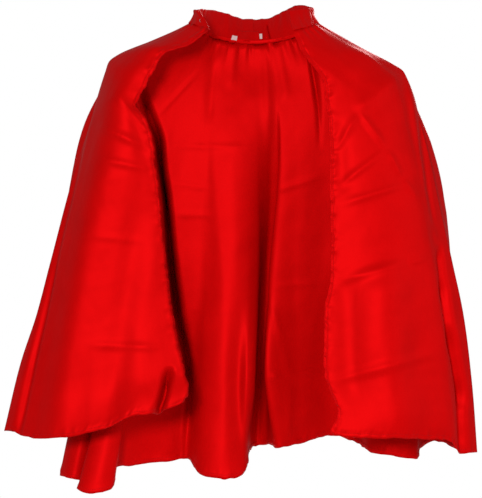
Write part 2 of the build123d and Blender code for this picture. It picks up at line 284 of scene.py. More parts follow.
def lengths_along(points, power=1.0):
    """Running length along a line of points, as a share of the whole."""
    steps = np.linalg.norm(np.diff(np.asarray(points, float), axis=0), axis=1) ** power
    run = np.concatenate([[0.0], np.cumsum(steps)])
    return run / run[-1]


def even_line(points, count, power=0.6):
    """count evenly spaced points on the smooth line through a few."""
    places = lengths_along(points, power)
    fine = through(places, points, np.linspace(0, 1, 1600))
    run = lengths_along(fine)
    return np.stack([np.interp(np.linspace(0, 1, count), run, c) for c in fine.T], axis=1)


def neckline(angle, outset=0.0):
    """Points of the neckline at angles round the neck, in degrees: 90 is the back."""
    a = np.radians(angle)
    c, s = np.cos(a), np.sin(a)
    return np.stack([(NECK_HALF_WIDTH + outset) * c, (NECK_HALF_DEPTH + outset) * s,
                     -2.0 + NECK_SIDE_RISE * c * c], axis=-1)


def cloud(x, z, size_x, size_z, seed):
    """Soft random field from -1 to 1, with patches of the given sizes in millimetres."""
    table = np.random.default_rng(seed).uniform(-1, 1, (64, 64))
    u, v = np.asarray(x) / size_x + 1000.0, np.asarray(z) / size_z + 1000.0
    i, j = np.floor(u).astype(int), np.floor(v).astype(int)
    a, b = ease(u - i), ease(v - j)

    def corner(di, dj):
        return table[(i + di) % 64, (j + dj) % 64]

    return mix(mix(corner(0, 0), corner(1, 0), a), mix(corner(0, 1), corner(1, 1), a), b)


def normals_of(grid):
    """Unit normals of a grid of points: across the columns, then down the rows."""
    across = np.gradient(grid, axis=1)
    down = np.gradient(grid, axis=0)
    n = np.cross(down, across)
    return n / np.maximum(np.linalg.norm(n, axis=2, keepdims=True), 1e-12)


def raise_cloth(grid, lift):
    """The grid moved along its own normals by lift, in millimetres."""
    return grid + normals_of(grid) * lift[..., None]


def beside_line(grid, start, end):
    """Each point's share of the way along a line, and how far beside it, seen from the front."""
    x, z = grid[..., 0], grid[..., 2]
    (x0, z0), (x1, z1) = start, end
    dx, dz = x1 - x0, z1 - z0
    size = math.hypot(dx, dz)
    return ((x - x0) * dx + (z - z0) * dz) / size**2, ((x - x0) * dz - (z - z0) * dx) / size


def pressed_line(grid, start, end, height, width, fade=0.35):
    """A straight pressed crease: height falls away from it over width."""
    t, off = beside_line(grid, start, end)
    ridge = np.maximum(0.0, 1.0 - np.abs(off) / width) ** 1.4
    return height * ridge * ease(t / fade) * ease((1 - t) / fade)


def soft_fold(grid, start, end, height, width, fade=0.3):
    """A rounded fold along a line."""
    t, off = beside_line(grid, start, end)
    ridge = np.exp(-((off / width) ** 2))
    return height * ridge * ease(t / fade + 0.5) * ease((1 - t) / fade + 0.5)


def all_folds(grid, creases, folds):
    """Height of a panel's pressed creases and rounded folds together."""
    return (sum(pressed_line(grid, *crease) for crease in creases)
            + sum(soft_fold(grid, *fold) for fold in folds))


def run_down(grid):
    """Distance of every point from the top row, along its own column."""
    steps = np.linalg.norm(np.diff(grid, axis=0), axis=2)
    return np.concatenate([np.zeros((1, grid.shape[1])), np.cumsum(steps, axis=0)])


def run_across(grid):
    """Distance of every point from the first column, along its own row."""
    steps = np.linalg.norm(np.diff(grid, axis=1), axis=2)
    return np.concatenate([np.zeros((grid.shape[0], 1)), np.cumsum(steps, axis=1)], axis=1)


def hem_lift(distance, along, hem, seed, pucker):
    """Lift of a turned and stitched edge: a step at its inner side, and puckers along it."""
    step = 0.55 * ease((hem + 0.6 - distance) / 1.2)
    wave = (0.8 * cloud(along, distance, 7.0, 12.0, seed)
            + 0.7 * cloud(along, distance, 3.6, 9.0, seed + 1))
    reach = np.exp(-np.maximum(0.0, distance - hem) / 4.0)
    return (step + pucker * wave * reach) * np.where(distance < 60.0, 1.0, 0.0)


# ---------------- shapes of the cape, in millimetres
def seam_line(side, count):
    """Side seam of one side, from the collar over the shoulder corner to the hem."""
    flat = SEAM_LEFT if side > 0 else SEAM_RIGHT
    return even_line([(x, 0.0, z) for x, z in flat], count, power=0.8)


def back_panel_grid(columns=300, rows=163):
    """The back panel: gathered into the neckline, hanging in deep folds below the shoulders."""
    lines = np.array(BACK_LINES, float)
    top, middle, hem = lines[:, 0:1], lines[:, 1:3], lines[:, 3:6]
    spread = sum(np.linalg.norm(np.diff(part, axis=0), axis=1) * weight
                 for part, weight in ((top, 1.0), (middle, 0.8), (hem, 0.8)))
    place = np.concatenate([[0.0], np.cumsum(spread)]) / spread.sum()
    u = np.linspace(0, 1, columns)
    top_x = through(place, top, u)[:, 0]
    across = np.clip(top_x / SHOULDER_HALF, -1, 1)
    corner_z = np.where(across > 0, LEFT_CORNER, RIGHT_CORNER)
    shoulder = np.stack([top_x, SHOULDER_DEPTH * (1 - across**4),
                         mix(SHOULDER_ROW, corner_z, across**2)], axis=1)
    low = through(place, hem, u)
    low[:, 2] += 1.3 * cloud(u * 1300, u * 0, 10.0, 50.0, 121)
    middle_z, pocket_z = (mix(shoulder[:, 2], low[:, 2], share)
                          for share in (MIDDLE_SHARE, POCKET_SHARE))
    middle_row = np.column_stack([through(place, middle, u), middle_z])
    neck = neckline(90.0 - 90.0 * across) + [0, 0, NECK_TUCK]
    under_neck = mix(neck, shoulder, 0.5) + [0, 4.0, 3.0] * (1 - across[:, None]**2)
    pocket = mix(middle, hem[:, :2], 0.5)
    for x, pocket_x, pocket_y in BACK_POCKET:
        pocket[lines[:, 0] == x] = pocket_x, pocket_y
    pocket_row = np.column_stack([through(place, pocket, u), pocket_z])
    shares = TOP_SHARE + (1 - TOP_SHARE) * np.array([MIDDLE_SHARE, POCKET_SHARE])
    places = [0.0, TOP_SHARE * 0.5, TOP_SHARE, *shares, 1.0]
    knots = np.stack([neck, under_neck, shoulder, middle_row, pocket_row, low]).reshape(6, -1)
    grid = through(places, knots, np.linspace(0, 1, rows)).reshape(rows, columns, 3)
    return close_both_seams(grid, 26.0)


def front_panel_grid(side, columns=118, rows=186):
    """A front panel, stretched between its seam, its free edge, the neckline and its hem."""
    v = np.linspace(0, 1, rows)
    t = np.linspace(0, 1, columns)
    seam = seam_line(side, rows)
    edge = even_line(EDGE_LEFT if side > 0 else EDGE_RIGHT, rows)
    end = LEFT_END_ANGLE if side > 0 else RIGHT_END_ANGLE
    start = 0.0 if side > 0 else 180.0
    neck = neckline(mix(start, end, t)) + [0, 0, NECK_TUCK]
    hem_flat = np.array(HEM_LEFT if side > 0 else HEM_RIGHT, float)
    hem_t = lengths_along(hem_flat)
    forward = -FRONT_REACH * np.sin(np.pi / 2 * hem_t) ** 0.8
    hem = even_line(np.column_stack([hem_flat[:, 0], forward, hem_flat[:, 1]]), columns)
    edge[:, 0] += 0.9 * cloud(v * 640, v * 0, 10.0, 50.0, 101 + side)
    hem[:, 2] += 1.1 * cloud(t * 280, t * 0, 9.0, 50.0, 111 + side)
    seam[0], edge[0] = neck[0], neck[-1]
    hem[0], hem[-1] = seam[-1], edge[-1]
    tt, vv = t[None, :, None], v[:, None, None]
    sides = mix(seam[:, None], edge[:, None], tt)
    bend = np.sin(np.pi / 2 * t)[None, :]
    sides[..., 1] = mix(seam[:, None, 1], edge[:, None, 1], bend)
    ends = mix(neck[None], hem[None], vv)
    corners = mix(mix(neck[0], neck[-1], tt), mix(hem[0], hem[-1], tt), vv)
    corners[..., 1] = mix(mix(neck[0, 1], neck[-1, 1], bend), mix(hem[0, 1], hem[-1, 1], bend),
                          v[:, None])
    grid = sides + ends - corners
    belly = LEFT_BELLY if side > 0 else RIGHT_BELLY
    grid[..., 1] -= belly * np.sin(np.pi * t) * ease(v / 0.3)[:, None]
    return grid if side > 0 else grid[:, ::-1]


def close_seam(grid, side, column, reach=16.0):
    """Brings one side edge of a panel back to the shared side seam, easing the cloth beside it."""
    line = seam_line(side, len(grid))
    miss = line - grid[:, column]
    away = np.linalg.norm(grid - grid[:, column][:, None], axis=2)
    return grid + miss[:, None] * np.exp(-(away / reach) ** 2)[..., None]


def close_both_seams(grid, reach=16.0):
    """The same for the back panel, whose first column is at the wearer's right."""
    return close_seam(close_seam(grid, -1, 0, reach), 1, -1, reach)


def gathers(grid, depth, seed):
    """Lift of the gathers that run down from the neckline and die out."""
    down = run_down(grid)
    along = run_across(grid)[2:3] + 0.0 * down
    fine = cloud(along, down * 0.0, 5.2, 90.0, seed)
    wide = cloud(along, down * 0.0, 12.0, 90.0, seed + 3)
    reach = 16.0 + 26.0 * (0.5 + 0.5 * cloud(along, down * 0.0, 15.0, 90.0, seed + 5))
    waves = 1.2 * fine * np.exp(-down / 12.0) + 0.8 * wide * np.exp(-down / reach)
    return depth * waves * ease(down / 5.0)


def unevenness(grid, seed):
    """Small sags and ripples that no hanging cloth is without."""
    x, z = grid[..., 0], grid[..., 2]
    wide = cloud(x + 0.25 * z, z, 62.0, 120.0, seed)
    middle = cloud(x - 0.3 * z, z, 26.0, 44.0, seed + 1)
    fine = cloud(x, z, 9.0, 13.0, seed + 2)
    return 1.5 * wide + 0.55 * middle + 0.10 * fine


def dressed_back(sizes):
    """Back panel with its gathers, pressed creases, folds and hem."""
    grid = back_panel_grid()
    for width, line in BACK_VALLEYS:
        line = np.array(line[::-1], float)
        at = through(line[:, 1], line[:, ::2], grid[..., 2].ravel()).reshape(*grid.shape[:2], 2)
        inside = (grid[..., 2] > line[0, 1]) & (grid[..., 2] < line[-1, 1])
        grid[..., 1] += at[..., 1] * np.exp(-((grid[..., 0] - at[..., 0]) / width) ** 2) * inside
    grid = raise_cloth(grid, -gathers(grid, sizes.gather / MM, 11))
    down, along = run_down(grid), run_across(grid)[:1] + 0.0 * grid[..., 0]
    slits = ease(0.62 + 0.75 * cloud(along, down * 0.0, 11.0, 50.0, 15))
    gap = 9.0 * np.exp(-(((down - 4.5) / 3.2) ** 2)) * slits
    side = np.minimum(along, along[:, -1:] - along)
    grid = raise_cloth(grid, -gap * ease((side - 20.0) / 30.0))
    fold = all_folds(grid, BACK_CREASES, BACK_FOLDS)
    grid = raise_cloth(grid, fold - unevenness(grid, 21))
    down = run_down(grid)
    along = run_across(grid)[-1:] + 0.0 * down
    grid = raise_cloth(grid, hem_lift(down[-1:] - down, along, sizes.hem / MM, 31, 1.0))
    return close_both_seams(grid)


def dressed_front(side, sizes):
    """Front panel with its gathers, creases, turned edge and hem."""
    grid = front_panel_grid(side)
    x, z = grid[..., 0], grid[..., 2]
    if side > 0:
        fold = all_folds(grid, LEFT_CREASES, LEFT_FOLDS)
    else:
        fold = all_folds(grid, RIGHT_CREASES, RIGHT_FOLDS)
        curl = ease((-505 - z) / 22.0) * ease((z + 590) / 12.0 + 0.4)
        fold = fold - CURL_DEPTH * np.exp(-(((x + 136 - 0.25 * (z + 540)) / 5.5) ** 2)) * curl
    grid = raise_cloth(grid, -fold - unevenness(grid, 41 + side))
    grid = raise_cloth(grid, gathers(grid, 0.8 * sizes.gather / MM, 51 + side))
    down, run, hem = run_down(grid), run_across(grid), sizes.hem / MM
    from_edge = run[:, -1:] - run if side > 0 else run
    along_edge = (down[:, -1:] if side > 0 else down[:, :1]) + 0.0 * run
    lift = (hem_lift(from_edge, along_edge, hem, 61 + side, 1.7)
            + hem_lift(down[-1:] - down, run[-1:] + 0.0 * down, hem, 71 + side, 0.9))
    return close_seam(raise_cloth(grid, lift), side, 0 if side > 0 else -1)


def outward(angle):
    """Directions straight out from the neckline."""
    out = neckline(angle, 1.0) - neckline(angle)
    return out / np.linalg.norm(out, axis=1, keepdims=True)


def collar_grid(first, last, columns, rows=26, foot=0.0):
    """Middle surface of the collar between two angles, from foot to 1 up its rise."""
    table = np.array(COLLAR_TOP[::-1], float)
    angle = np.linspace(first, last, columns)
    top = through(table[:, 0], table[:, 1:], angle)
    rise = np.linspace(foot, 1.0, rows)[:, None, None]
    grid = mix(neckline(angle)[None], top[None], rise)
    grid = grid - outward(angle)[None] * 2.2 * np.sin(np.pi * rise)
    run = angle[None, :] * 1.5 + 0.0 * rise[..., 0]
    height = 34.0 * rise[..., 0] + 0.0 * run
    wrinkle = (1.5 * cloud(run, height, 13.0, 40.0, 81) + 0.8 * cloud(run, height, 5.5, 15.0, 82)
               + cloud(run, height * 0.0, 6.0, 40.0, 83) * np.exp(-height / 9.0))
    pinch = 1.8 * np.exp(-(((run - 124.0) / 5.0) ** 2)) - 1.6 * np.exp(-(((run - 150.0) / 6.0) ** 2))
    slit = -4.2 * np.exp(-(((run - 111.5 - 0.12 * height) / 1.7) ** 2)) * ease((30 - height) / 8.0)
    return raise_cloth(grid, wrinkle + pinch * ease(height / 14.0) + slit)


# ---------------- meshes
def add_piece(name, points, faces, material, uv=None, smooth=True):
    """Mesh object from points in millimetres; uv holds one place on the cloth per point."""
    mesh = bpy.data.meshes.new(name)
    mesh.from_pydata((np.asarray(points) * MM).tolist(), [], np.asarray(faces).tolist())
    mesh.materials.append(material)
    if smooth:
        mesh.shade_smooth()
    if uv is not None:
        corners = np.empty(len(mesh.loops), dtype=np.int32)
        mesh.loops.foreach_get("vertex_index", corners)
        layer = mesh.uv_layers.new(name="cloth")
        layer.data.foreach_set("uv", np.asarray(uv, dtype=np.float32)[corners].ravel())
    mesh.validate()
    piece = bpy.data.objects.new(name, mesh)
    bpy.context.scene.collection.objects.link(piece)
    return piece


def cloth_piece(name, grid, thickness, material):
    """Closed cloth of even thickness about a grid."""
    rows, columns = grid.shape[:2]
    index = np.arange(rows * columns).reshape(rows, columns)
    cells = np.stack([index[:-1, :-1], index[1:, :-1], index[1:, 1:], index[:-1, 1:]], axis=-1)
    cells = cells.reshape(-1, 4)
    shift = rows * columns
    rim = np.concatenate([index[0, :], index[1:, -1], index[-1, -2::-1], index[-2:0:-1, 0]])
    after = np.roll(rim, -1)
    faces = np.concatenate([cells[:, ::-1] + shift, cells,
                            np.stack([rim, after, after + shift, rim + shift], axis=-1)])
    half = normals_of(grid) * (thickness / 2)
    near = grid - half
    points = np.concatenate([near.reshape(-1, 3), (grid + half).reshape(-1, 3)])
    u = run_across(near).mean(axis=0, keepdims=True) + 0.0 * near[..., 0]
    v = -run_down(near).mean(axis=1, keepdims=True) + 0.0 * near[..., 0]
    uv = np.stack([u, v], axis=-1).reshape(-1, 2) * MM
    return add_piece(name, points, faces, material, np.concatenate([uv, uv]))


def beside_seam(grid, column, distances):
    """Places and normals at set distances from one side edge of a panel, along each of its rows."""
    step = 1 if column == 0 else -1
    grid = np.concatenate([grid, normals_of(grid)], axis=2)[:, ::step]
    run = run_across(grid[..., :3])
    return np.array([[np.interp(distances, run[row], part) for part in grid[row].T]
                     for row in range(len(grid))]).swapaxes(1, 2)


def side_allowance(back, front, side, rows=120, reach=11.0, steps=9):
    """The allowance turned in at a side seam: a strip on both panels, from chest height down."""
    halves = []
    for grid, column in ((back, 0 if side < 0 else -1), (front, 0 if side > 0 else -1)):
        made = beside_seam(grid, column, np.linspace(0.0, reach, steps))
        share = np.linspace(0, 1, len(grid))
        first = np.interp(ALLOWANCE_TOP, made[::-1, 0, 2], share[::-1])
        where = np.linspace(first, 0.992, rows)
        halves.append(through(share, made.reshape(len(grid), -1), where).reshape(rows, steps, 6))
    middle = (halves[0][:, :1] + halves[1][:, :1]) / 2
    strip = np.concatenate([halves[0][:, :0:-1], middle, halves[1][:, 1:]], axis=1)
    normals = strip[..., 3:] / np.linalg.norm(strip[..., 3:], axis=2, keepdims=True)
    return strip[..., :3] + normals * ALLOWANCE_LIFT


def declare_cloth(grid):
    """Works out what size a cloth was cut to, along its widest row and down its longest column, but
    keeps nothing of it.
    """
    flat = (float(run_across(grid)[:, -1].max() * MM), float(run_down(grid)[-1].max() * MM))
    min(area_of(grid), flat[0] * flat[1])


def area_of(grid):
    """Area of a grid of cells, in square metres."""
    across = grid[:-1, 1:] - grid[:-1, :-1]
    down = grid[1:, :-1] - grid[:-1, :-1]
    return float(np.linalg.norm(np.cross(across, down), axis=2).sum() * MM * MM)


# ---------------- materials
class Signal:
    """A shader socket that can be added, multiplied and so on like a number."""

    def __init__(self, tree, socket):
        self.tree = tree
        self.socket = socket

    def _maths(self, operation, first, second):
        node = self.tree.nodes.new("ShaderNodeMath")
        node.operation = operation
        for place, value in enumerate((first, second)):
            self.tree.feed(node.inputs[place], value)
        return Signal(self.tree, node.outputs[0])

    def __add__(self, other):
        return self._maths("ADD", self, other)

    __radd__ = __add__

    def __sub__(self, other):
        return self._maths("SUBTRACT", self, other)

    def __rsub__(self, other):
        return self._maths("SUBTRACT", other, self)

    def __mul__(self, other):
        return self._maths("MULTIPLY", self, other)

    __rmul__ = __mul__

    def wave(self):
        return self._maths("SINE", self, 0.0)


class Tree:
    """The node tree of one material."""

    def __init__(self, name):
        self.material = bpy.data.materials.new(name)
        self.material.use_nodes = True
        self.nodes = self.material.node_tree.nodes
        self.links = self.material.node_tree.links
        self.nodes.clear()

    def feed(self, socket, value):
        """Links a signal to a socket, or sets the socket's own value."""
        if isinstance(value, Signal):
            self.links.new(value.socket, socket)
        elif value is not None:
            socket.default_value = value

    def node(self, kind, settings=None, values=None, output=0):
        """Any node: its type, its settings, then its inputs."""
        made = self.nodes.new(kind)
        for setting, value in (settings or {}).items():
            setattr(made, setting, value)
        for place, value in (values or {}).items():
            self.feed(made.inputs[place], value)
        return Signal(self, made.outputs[output])

    def blend(self, share, first, second):
        """Colour between two colours."""
        return self.node("ShaderNodeMix", {"data_type": "RGBA"},
                         {"Factor": share, 6: first, 7: second}, output=2)

    def noise(self, place, scale, detail=2.0):
        return self.node("ShaderNodeTexNoise", None,
                         {"Vector": place, "Scale": scale, "Detail": detail, "Roughness": 0.5})

    def stretched(self, place, x, y):
        """The place on the cloth with its two directions scaled."""
        return self.node("ShaderNodeVectorMath", {"operation": "MULTIPLY"}, {0: place, 1: (x, y, 1.0)})

    def part(self, place, axis):
        """One direction of a place."""
        return self.node("ShaderNodeSeparateXYZ", None, {0: place}, output=axis)

    def surface(self, **values):
        """The surface itself, linked to the output."""
        named = {name.replace("_", " "): value for name, value in values.items()}
        shader = self.node("ShaderNodeBsdfPrincipled", None, named)
        out = self.nodes.new("ShaderNodeOutputMaterial")
        self.links.new(shader.socket, out.inputs["Surface"])
        return self.material


def relief(tree, strength, distance, height):
    """Bumps on a surface."""
    return tree.node("ShaderNodeBump", None,
                     {"Strength": strength, "Distance": distance, "Height": height})


def darker(colour, share):
    return tuple(part * share for part in colour[:3]) + (1.0,)


def satin_material(name, colour, shade, roughness=0.49, metallic=0.22, weave=0.06):
    """Woven satin: long shiny floats one way, a fine crossing thread the other."""
    tree = Tree(name)
    place = tree.node("ShaderNodeTexCoord", output=2)
    patches = tree.noise(place, 26.0, 3.0)
    slubs = tree.noise(tree.stretched(place, 900.0, 55.0), 1.0, 2.0)
    across, down = tree.part(place, 0), tree.part(place, 1)
    threads = (across * 9000.0 + down * 1400.0).wave() * 0.6 + (down * 7000.0).wave() * 0.4
    return tree.surface(Base_Color=tree.blend(patches * 0.7 + slubs * 0.35, shade, colour),
                        Roughness=roughness - 0.05 + patches * 0.08 + slubs * 0.04,
                        Metallic=metallic, Normal=relief(tree, weave, 0.0004,
                                                         threads * 0.4 + slubs * 0.6),
                        Specular_IOR_Level=0.20, Specular_Tint=(1.0, 0.06, 0.08, 1.0),
                        Anisotropic=0.35)


def thread_material(name, colour):
    """Twisted sewing thread."""
    tree = Tree(name)
    place = tree.node("ShaderNodeTexCoord", output=3)
    twist = (tree.part(place, 0) * 9000.0 + tree.part(place, 2) * 9000.0).wave() * 0.5 + 0.5
    tone = tree.noise(place, 160.0)
    return tree.surface(Base_Color=tree.blend(tone, darker(colour, 0.72), colour),
                        Roughness=0.45 + tone * 0.1, Normal=relief(tree, 0.3, 0.0002, twist),
                        Specular_IOR_Level=0.3, Specular_Tint=(1.0, 0.1, 0.1, 1.0))


def felt_material(name, colour):
    """Pressed non-woven stiffener, with its fibres lying every way."""
    tree = Tree(name)
    place = tree.node("ShaderNodeTexCoord", output=3)
    fibres, tone = tree.noise(place, 900.0, 4.0), tree.noise(place, 60.0)
    mottled = tree.blend(tone * 0.5 + fibres * 0.5, darker(colour, 0.86), colour)
    return tree.surface(Base_Color=mottled, Roughness=0.85 + tone * 0.08,
                        Normal=relief(tree, 0.4, 0.0004, fibres))


def wire_material(name, colour):
    """Nickel-plated wire, a little scuffed."""
    tree = Tree(name)
    place = tree.node("ShaderNodeTexCoord", output=3)
    scuffs = tree.noise(tree.stretched(place, 1.0, 4.0), 700.0, 3.0)
    return tree.surface(Base_Color=tree.blend(scuffs, darker(colour, 0.7), colour), Metallic=1.0,
                        Roughness=0.22 + scuffs * 0.2, Normal=relief(tree, 0.1, 0.0001, scuffs))


def floor_material(name):
    """Plain pale matt floor."""
    tree = Tree(name)
    tone = tree.noise(tree.node("ShaderNodeTexCoord", output=3), 3.0)
    return tree.surface(Base_Color=tree.blend(tone, (0.78, 0.78, 0.78, 1), (0.84, 0.84, 0.84, 1)),
                        Roughness=0.8)


FINISHES = {
    "red satin": (satin_material, ("satin", "shade"), ()),
    "red satin lining": (satin_material, ("satin", "shade"), (0.5, 0.2)),
    "red label tape": (satin_material, ("satin", "shade"), (0.5, 0.2, 0.15)),
    "pale label ends": (felt_material, ("tape",), ()),
    "pressed stiffener": (felt_material, ("stiffener",), ()),
    "red thread": (thread_material, ("thread",), ()),
    "nickel wire": (wire_material, ("wire",), ()),
    "pale floor": (floor_material, (), ()),
}


def finish(name):
    """The material of that name, made once and shared."""
    make, colours, values = FINISHES[name]
    chosen = [tuple(getattr(bpy.context.scene.cape_colours, part)) for part in colours]
    return bpy.data.materials.get(name) or make(name, *chosen, *values)


# ---------------- sewing
def frame_along(points):
    """Unit directions along a line of points."""
    d = np.gradient(points, axis=0)
    return d / np.maximum(np.linalg.norm(d, axis=1, keepdims=True), 1e-12)


def ring_faces(rings, sides, start=0):
    """Faces between rings of points that follow each other."""
    firsts = [start + ring * sides for ring in range(rings - 1)]
    return [[a + s, a + (s + 1) % sides, a + (s + 1) % sides + sides, a + s + sides]
            for a in firsts for s in range(sides)]


def stitch_line(points, normals, length, gap, half, sink=0.25):
    """Points and faces of a row of stitches lying on the cloth, their ends dipping into it."""
    run = np.concatenate([[0.0], np.cumsum(np.linalg.norm(np.diff(points, axis=0), axis=1))])
    pitch = length + gap
    count = max(1, int((run[-1] - gap) / pitch))
    stations = np.array([0.0, 0.12, 0.5, 0.88, 1.0])
    heights = np.array([-sink, half * 0.6, half * 1.1, half * 0.6, -sink])
    widths = np.array([0.7, 1.0, 1.0, 1.0, 0.7]) * half
    sides = 6
    turn = np.arange(sides) * 2 * np.pi / sides
    all_points, all_faces = [], []
    for k in range(count):
        where = gap / 2 + k * pitch + stations * length
        centre = np.stack([np.interp(where, run, c) for c in points.T], axis=1)
        up = np.stack([np.interp(where, run, c) for c in normals.T], axis=1)
        up /= np.linalg.norm(up, axis=1, keepdims=True)
        ahead = frame_along(centre)
        aside = np.cross(ahead, up)
        rings = (centre + up * heights[:, None])[:, None] + widths[:, None, None] * (
            np.cos(turn)[None, :, None] * aside[:, None] + np.sin(turn)[None, :, None] * up[:, None])
        all_points.append(rings.reshape(-1, 3))
        all_faces += ring_faces(len(stations), sides, k * sides * len(stations))
    return np.concatenate(all_points), np.array(all_faces)


def stitches(name, lines, sizes):
    """One piece of sewing from several rows of stitches, each a line of points and its normals."""
    points, faces, start = [], [], 0
    for line, normals in lines:
        p, f = stitch_line(line, normals, sizes.stitch / MM, sizes.stitch_gap / MM, sizes.thread / MM)
        points.append(p)
        faces.append(f + start)
        start += len(p)
    return add_piece(name, np.concatenate(points), np.concatenate(faces), finish("red thread"))


def line_at(grid, normals, distance, inset, lift):
    """Line of points where the distance field down the columns has one value, lifted off the cloth."""
    points = np.empty((grid.shape[1], 6))
    both = np.concatenate([grid + normals * lift, normals * np.sign(lift)], axis=2)
    for column in range(grid.shape[1]):
        order = np.argsort(distance[:, column])
        field = distance[order, column]
        for k in range(6):
            points[column, k] = np.interp(inset, field, both[order, column, k])
    return points[:, :3], points[:, 3:]


def hem_lines(grid, inset, cloth):
    """Rows of stitches on both sides of the cloth, along its bottom edge."""
    down = run_down(grid)
    ends_off = [part[:, 2:-2] for part in (grid, normals_of(grid), down[-1:] - down)]
    return [line_at(*ends_off, inset, lift * cloth / 2) for lift in (1, -1)]


def edge_lines(grid, side, insets, cloth):
    """Rows of stitches on both sides of the cloth, along its free front edge."""
    run = run_across(grid)
    distance, normals = (run[:, -1:] - run if side > 0 else run), normals_of(grid)
    turned = [part[3:-2].swapaxes(0, 1) for part in (grid, normals, distance)]
    return [line_at(*turned, inset, lift * cloth / 2) for inset in insets for lift in (1, -1)]


def tube(line, half, sides=10):
    """Points and faces of a round wire along a line, open at its two ends."""
    ahead = frame_along(line)
    up = np.cross(ahead, [0.31, 0.22, 0.92])
    up /= np.linalg.norm(up, axis=1, keepdims=True)
    aside = np.cross(ahead, up)
    turn = np.arange(sides) * 2 * np.pi / sides
    rings = line[:, None] + half * (np.cos(turn)[None, :, None] * up[:, None]
                                    + np.sin(turn)[None, :, None] * aside[:, None])
    return rings.reshape(-1, 3), ring_faces(len(line), sides)


GRIDS = {}


def grids():
    """The panels' grids, made once and kept for the sewing."""
    sizes = bpy.context.scene.cape_sizes
    if not GRIDS:
        GRIDS["back"] = dressed_back(sizes)
        GRIDS["right"] = dressed_front(-1, sizes)
        GRIDS["left"] = dressed_front(1, sizes)
    return GRIDS


def blend_front(piece, side, name, slot, *nodes):
    """Bakes a piece's placement into its mesh and hides the model's nodes that it replaces."""
    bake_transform(piece)
    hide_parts(*nodes)


# ---------------- operators
class CAPE_OT_back_panel(bpy.types.Operator):
    """Hang the back panel from the neckline"""

    bl_idname = "cape.back_panel"
    bl_label = "Back panel"

    def execute(self, context):
        sizes = context.scene.cape_sizes
        grid = grids()["back"]
        piece = cloth_piece("back_panel_cloth", grid, sizes.cloth / MM, finish("red satin"))
        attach(piece, "root")
        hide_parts("back_panel")
        declare_cloth(grid)
        return {"FINISHED"}


class CAPE_OT_front_panels(bpy.types.Operator):
    """Hang the two front panels over the shoulders"""

    bl_idname = "cape.front_panels"
    bl_label = "Front panels"

    def execute(self, context):
        cloth, look = context.scene.cape_sizes.cloth / MM, finish("red satin")
        for side, name in SIDES:
            grid = grids()[name]
            piece = cloth_piece(f"{name}_front_cloth", grid, cloth, look)
            blend_front(piece, side, name, "satin", f"{name}_front_shoulder", f"{name}_front_drape")
            declare_cloth(grid)
            strip = side_allowance(grids()["back"], grid, side)
            piece = cloth_piece(f"{name}_side_seam_allowance", strip, cloth, look)
            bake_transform(piece)
            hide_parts(f"{name}_front_drape")
            declare_cloth(strip)
        return {"FINISHED"}


# Each half of the collar: its two angles, the body of its end, and where in metres it starts to
# fold and has folded.
COLLAR_HALVES = {
    "right": (90.0, 227.0, "right_collar_end", (-0.1, 0.0, 0.03), (-0.09, -0.045, 0.03)),
    "left": (-54.0, 90.0, "left_collar_end", (0.1, 0.0, 0.03), (0.07, -0.05, 0.03)),
}
# Each layer of the collar: which side of the middle it lies on, its finish and its slot.
COLLAR_LAYERS = {"facing": (1.0, "red satin lining", "satin_lining"),
                 "interfacing": (0.0, "pressed stiffener", "interfacing"),
                 "outer": (-1.0, "red satin", "satin")}


class CAPE_OT_collar(bpy.types.Operator):
    """Sew the stand-up collar from facing, stiffener and outer cloth"""

    bl_idname = "cape.collar"
    bl_label = "Collar"

    def execute(self, context):
        cloth = context.scene.cape_sizes.cloth / MM
        for side, (first, last, body, start, end) in COLLAR_HALVES.items():
            middle = collar_grid(first, last, COLLAR_COLUMNS)
            run, down = run_across(middle), run_down(middle)
            tip = run[:, -1:] - run if side == "right" else run
            apart = 0.32 + 0.68 * ease(np.minimum(down[-1:] - down, tip) / 3.0)
            for layer, (side_of, look, slot) in COLLAR_LAYERS.items():
                grid = raise_cloth(middle, side_of * apart)
                if layer == "interfacing":
                    halfway = down[:, COLLAR_COLUMNS // 2]
                    last_row = int(np.searchsorted(halfway, halfway[-1] - STIFFENER_SHORT))
                    off = STIFFENER_COLUMNS_OFF
                    across = slice(0, -off) if side == "right" else slice(off, None)
                    grid = middle[STIFFENER_ROWS_OFF:last_row, across]
                piece = cloth_piece(f"{side}_collar_{layer}", grid, cloth, finish(look))
                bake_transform(piece)
                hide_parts(f"{body}_{layer}", f"collar_{layer}")
                declare_cloth(grid)
        return {"FINISHED"}


# The label: piece, its body, the node it stands for and its finish; then its two angles, the shares
# of the collar's rise at its foot and top, how far it stands off and its thickness.
LABEL_PIECES = (
    ("label_tape", "neck_label", "neck_label", "red label tape", 84.5, 107.0, 0.04, 0.44, 2.2, 0.6),
    ("label_end_left", "neck_label", "neck_label", "pale label ends",
     82.0, 84.2, 0.12, 0.32, 2.7, 1.1),
    ("label_tack", "root", "neckline_binding", "pale label ends",
     106.0, 111.0, 0.0, 0.17, 2.7, 1.1),
)


